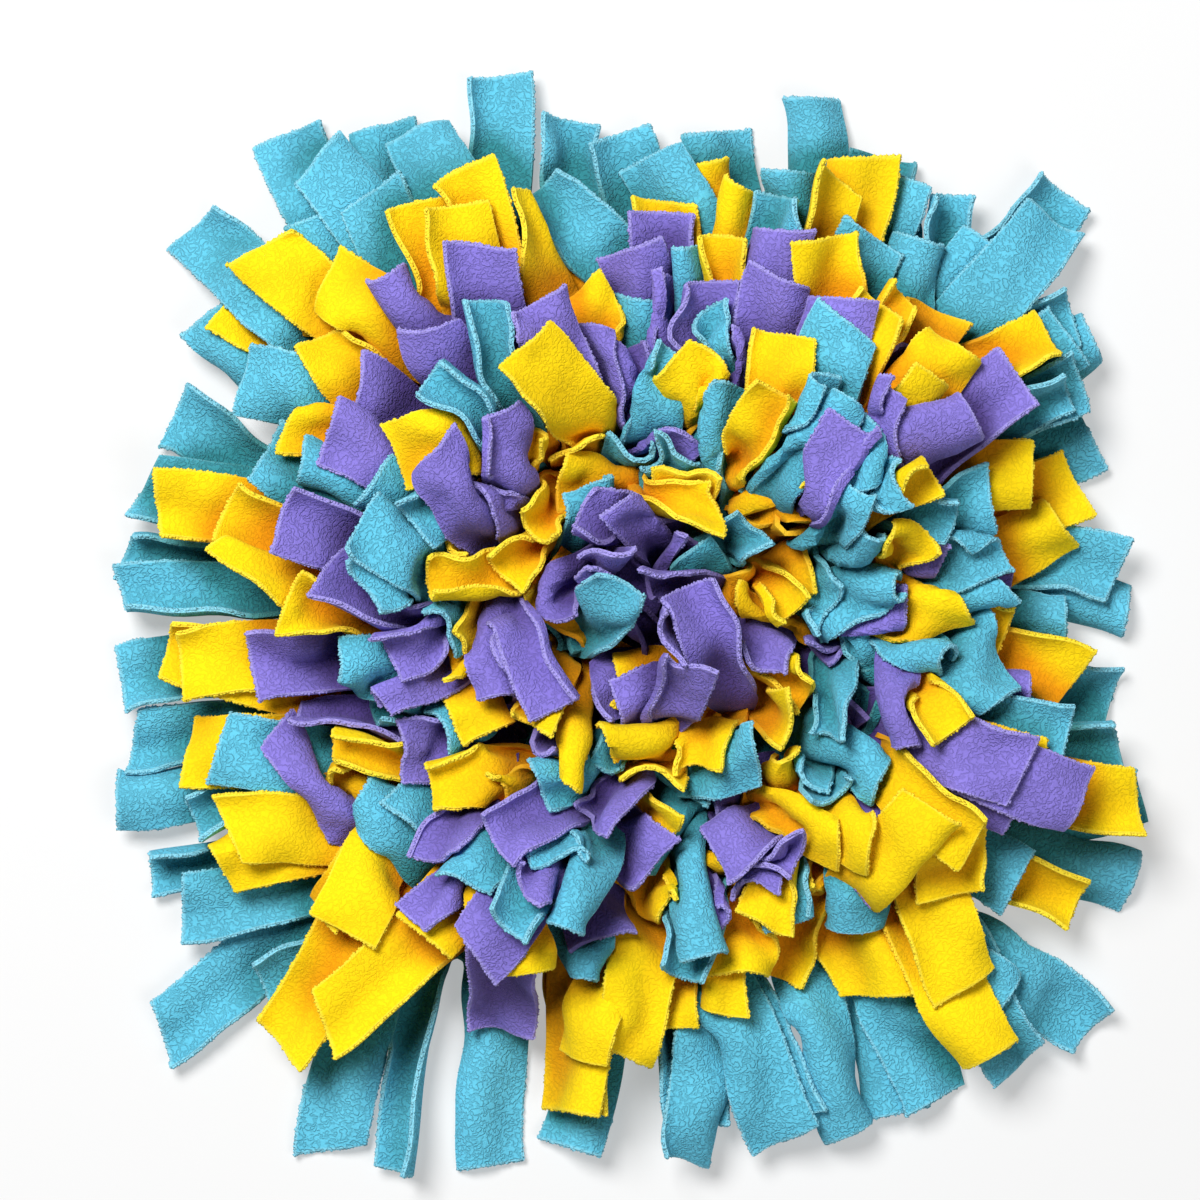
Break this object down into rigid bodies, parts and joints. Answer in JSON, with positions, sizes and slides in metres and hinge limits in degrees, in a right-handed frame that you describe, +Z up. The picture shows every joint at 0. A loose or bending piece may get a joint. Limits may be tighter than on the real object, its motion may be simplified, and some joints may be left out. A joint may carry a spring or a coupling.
{
  "type": "snuffle mat",
  "caption": "Snuffle mat: a flat square base under a low shaggy dome of wide fleece strips, whose loose tails lie outwards and hide dry food for a pet to sniff out.",
  "frame": {"origin": "middle of the whole footprint, on the surface that the base lies on", "axes": "+Z up out of the mat, +Y along the longer way of the footprint, towards the back edge, +X to the right"},
  "size_m": [0.4696, 0.496, 0.0889],
  "materials": {
    "base_rubber": "matt black rubber sheet",
    "teal_fleece": "short-pile polyester fleece, light teal blue",
    "yellow_fleece": "short-pile polyester fleece, bright yellow",
    "purple_fleece": "short-pile polyester fleece, soft violet"
  },
  "bodies": {
    "root": {"base_mat": "base_rubber", "purple_strip_01": "purple_fleece", "purple_strip_02": "purple_fleece", "purple_strip_03": "purple_fleece", "purple_strip_04": "purple_fleece", "purple_strip_05": "purple_fleece", "purple_strip_06": "purple_fleece", "purple_strip_07": "purple_fleece", "purple_strip_08": "purple_fleece", "purple_strip_09": "purple_fleece", "purple_strip_10": "purple_fleece", "purple_strip_11": "purple_fleece", "purple_strip_12": "purple_fleece", "teal_strip_01": "teal_fleece", "teal_strip_02": "teal_fleece", "teal_strip_03": "teal_fleece", "teal_strip_04": "teal_fleece", "teal_strip_05": "teal_fleece", "teal_strip_06": "teal_fleece", "teal_strip_07": "teal_fleece", "teal_strip_08": "teal_fleece", "teal_strip_09": "teal_fleece", "teal_strip_10": "teal_fleece", "teal_strip_11": "teal_fleece", "teal_strip_12": "teal_fleece", "teal_strip_13": "teal_fleece", "teal_strip_14": "teal_fleece", "teal_strip_15": "teal_fleece", "teal_strip_16": "teal_fleece", "teal_strip_17": "teal_fleece", "teal_strip_18": "teal_fleece", "teal_strip_19": "teal_fleece", "teal_strip_20": "teal_fleece", "teal_strip_21": "teal_fleece", "teal_strip_22": "teal_fleece", "teal_strip_23": "teal_fleece", "teal_strip_24": "teal_fleece", "teal_strip_25": "teal_fleece", "teal_strip_26": "teal_fleece", "teal_strip_27": "teal_fleece", "teal_strip_28": "teal_fleece", "teal_strip_29": "teal_fleece", "yellow_strip_01": "yellow_fleece", "yellow_strip_02": "yellow_fleece", "yellow_strip_03": "yellow_fleece", "yellow_strip_04": "yellow_fleece", "yellow_strip_05": "yellow_fleece", "yellow_strip_06": "yellow_fleece", "yellow_strip_07": "yellow_fleece", "yellow_strip_08": "yellow_fleece", "yellow_strip_09": "yellow_fleece", "yellow_strip_10": "yellow_fleece", "yellow_strip_11": "yellow_fleece", "yellow_strip_12": "yellow_fleece", "yellow_strip_13": "yellow_fleece", "yellow_strip_14": "yellow_fleece", "yellow_strip_15": "yellow_fleece", "yellow_strip_16": "yellow_fleece", "yellow_strip_17": "yellow_fleece", "yellow_strip_18": "yellow_fleece"}
  },
  "joints": []
}
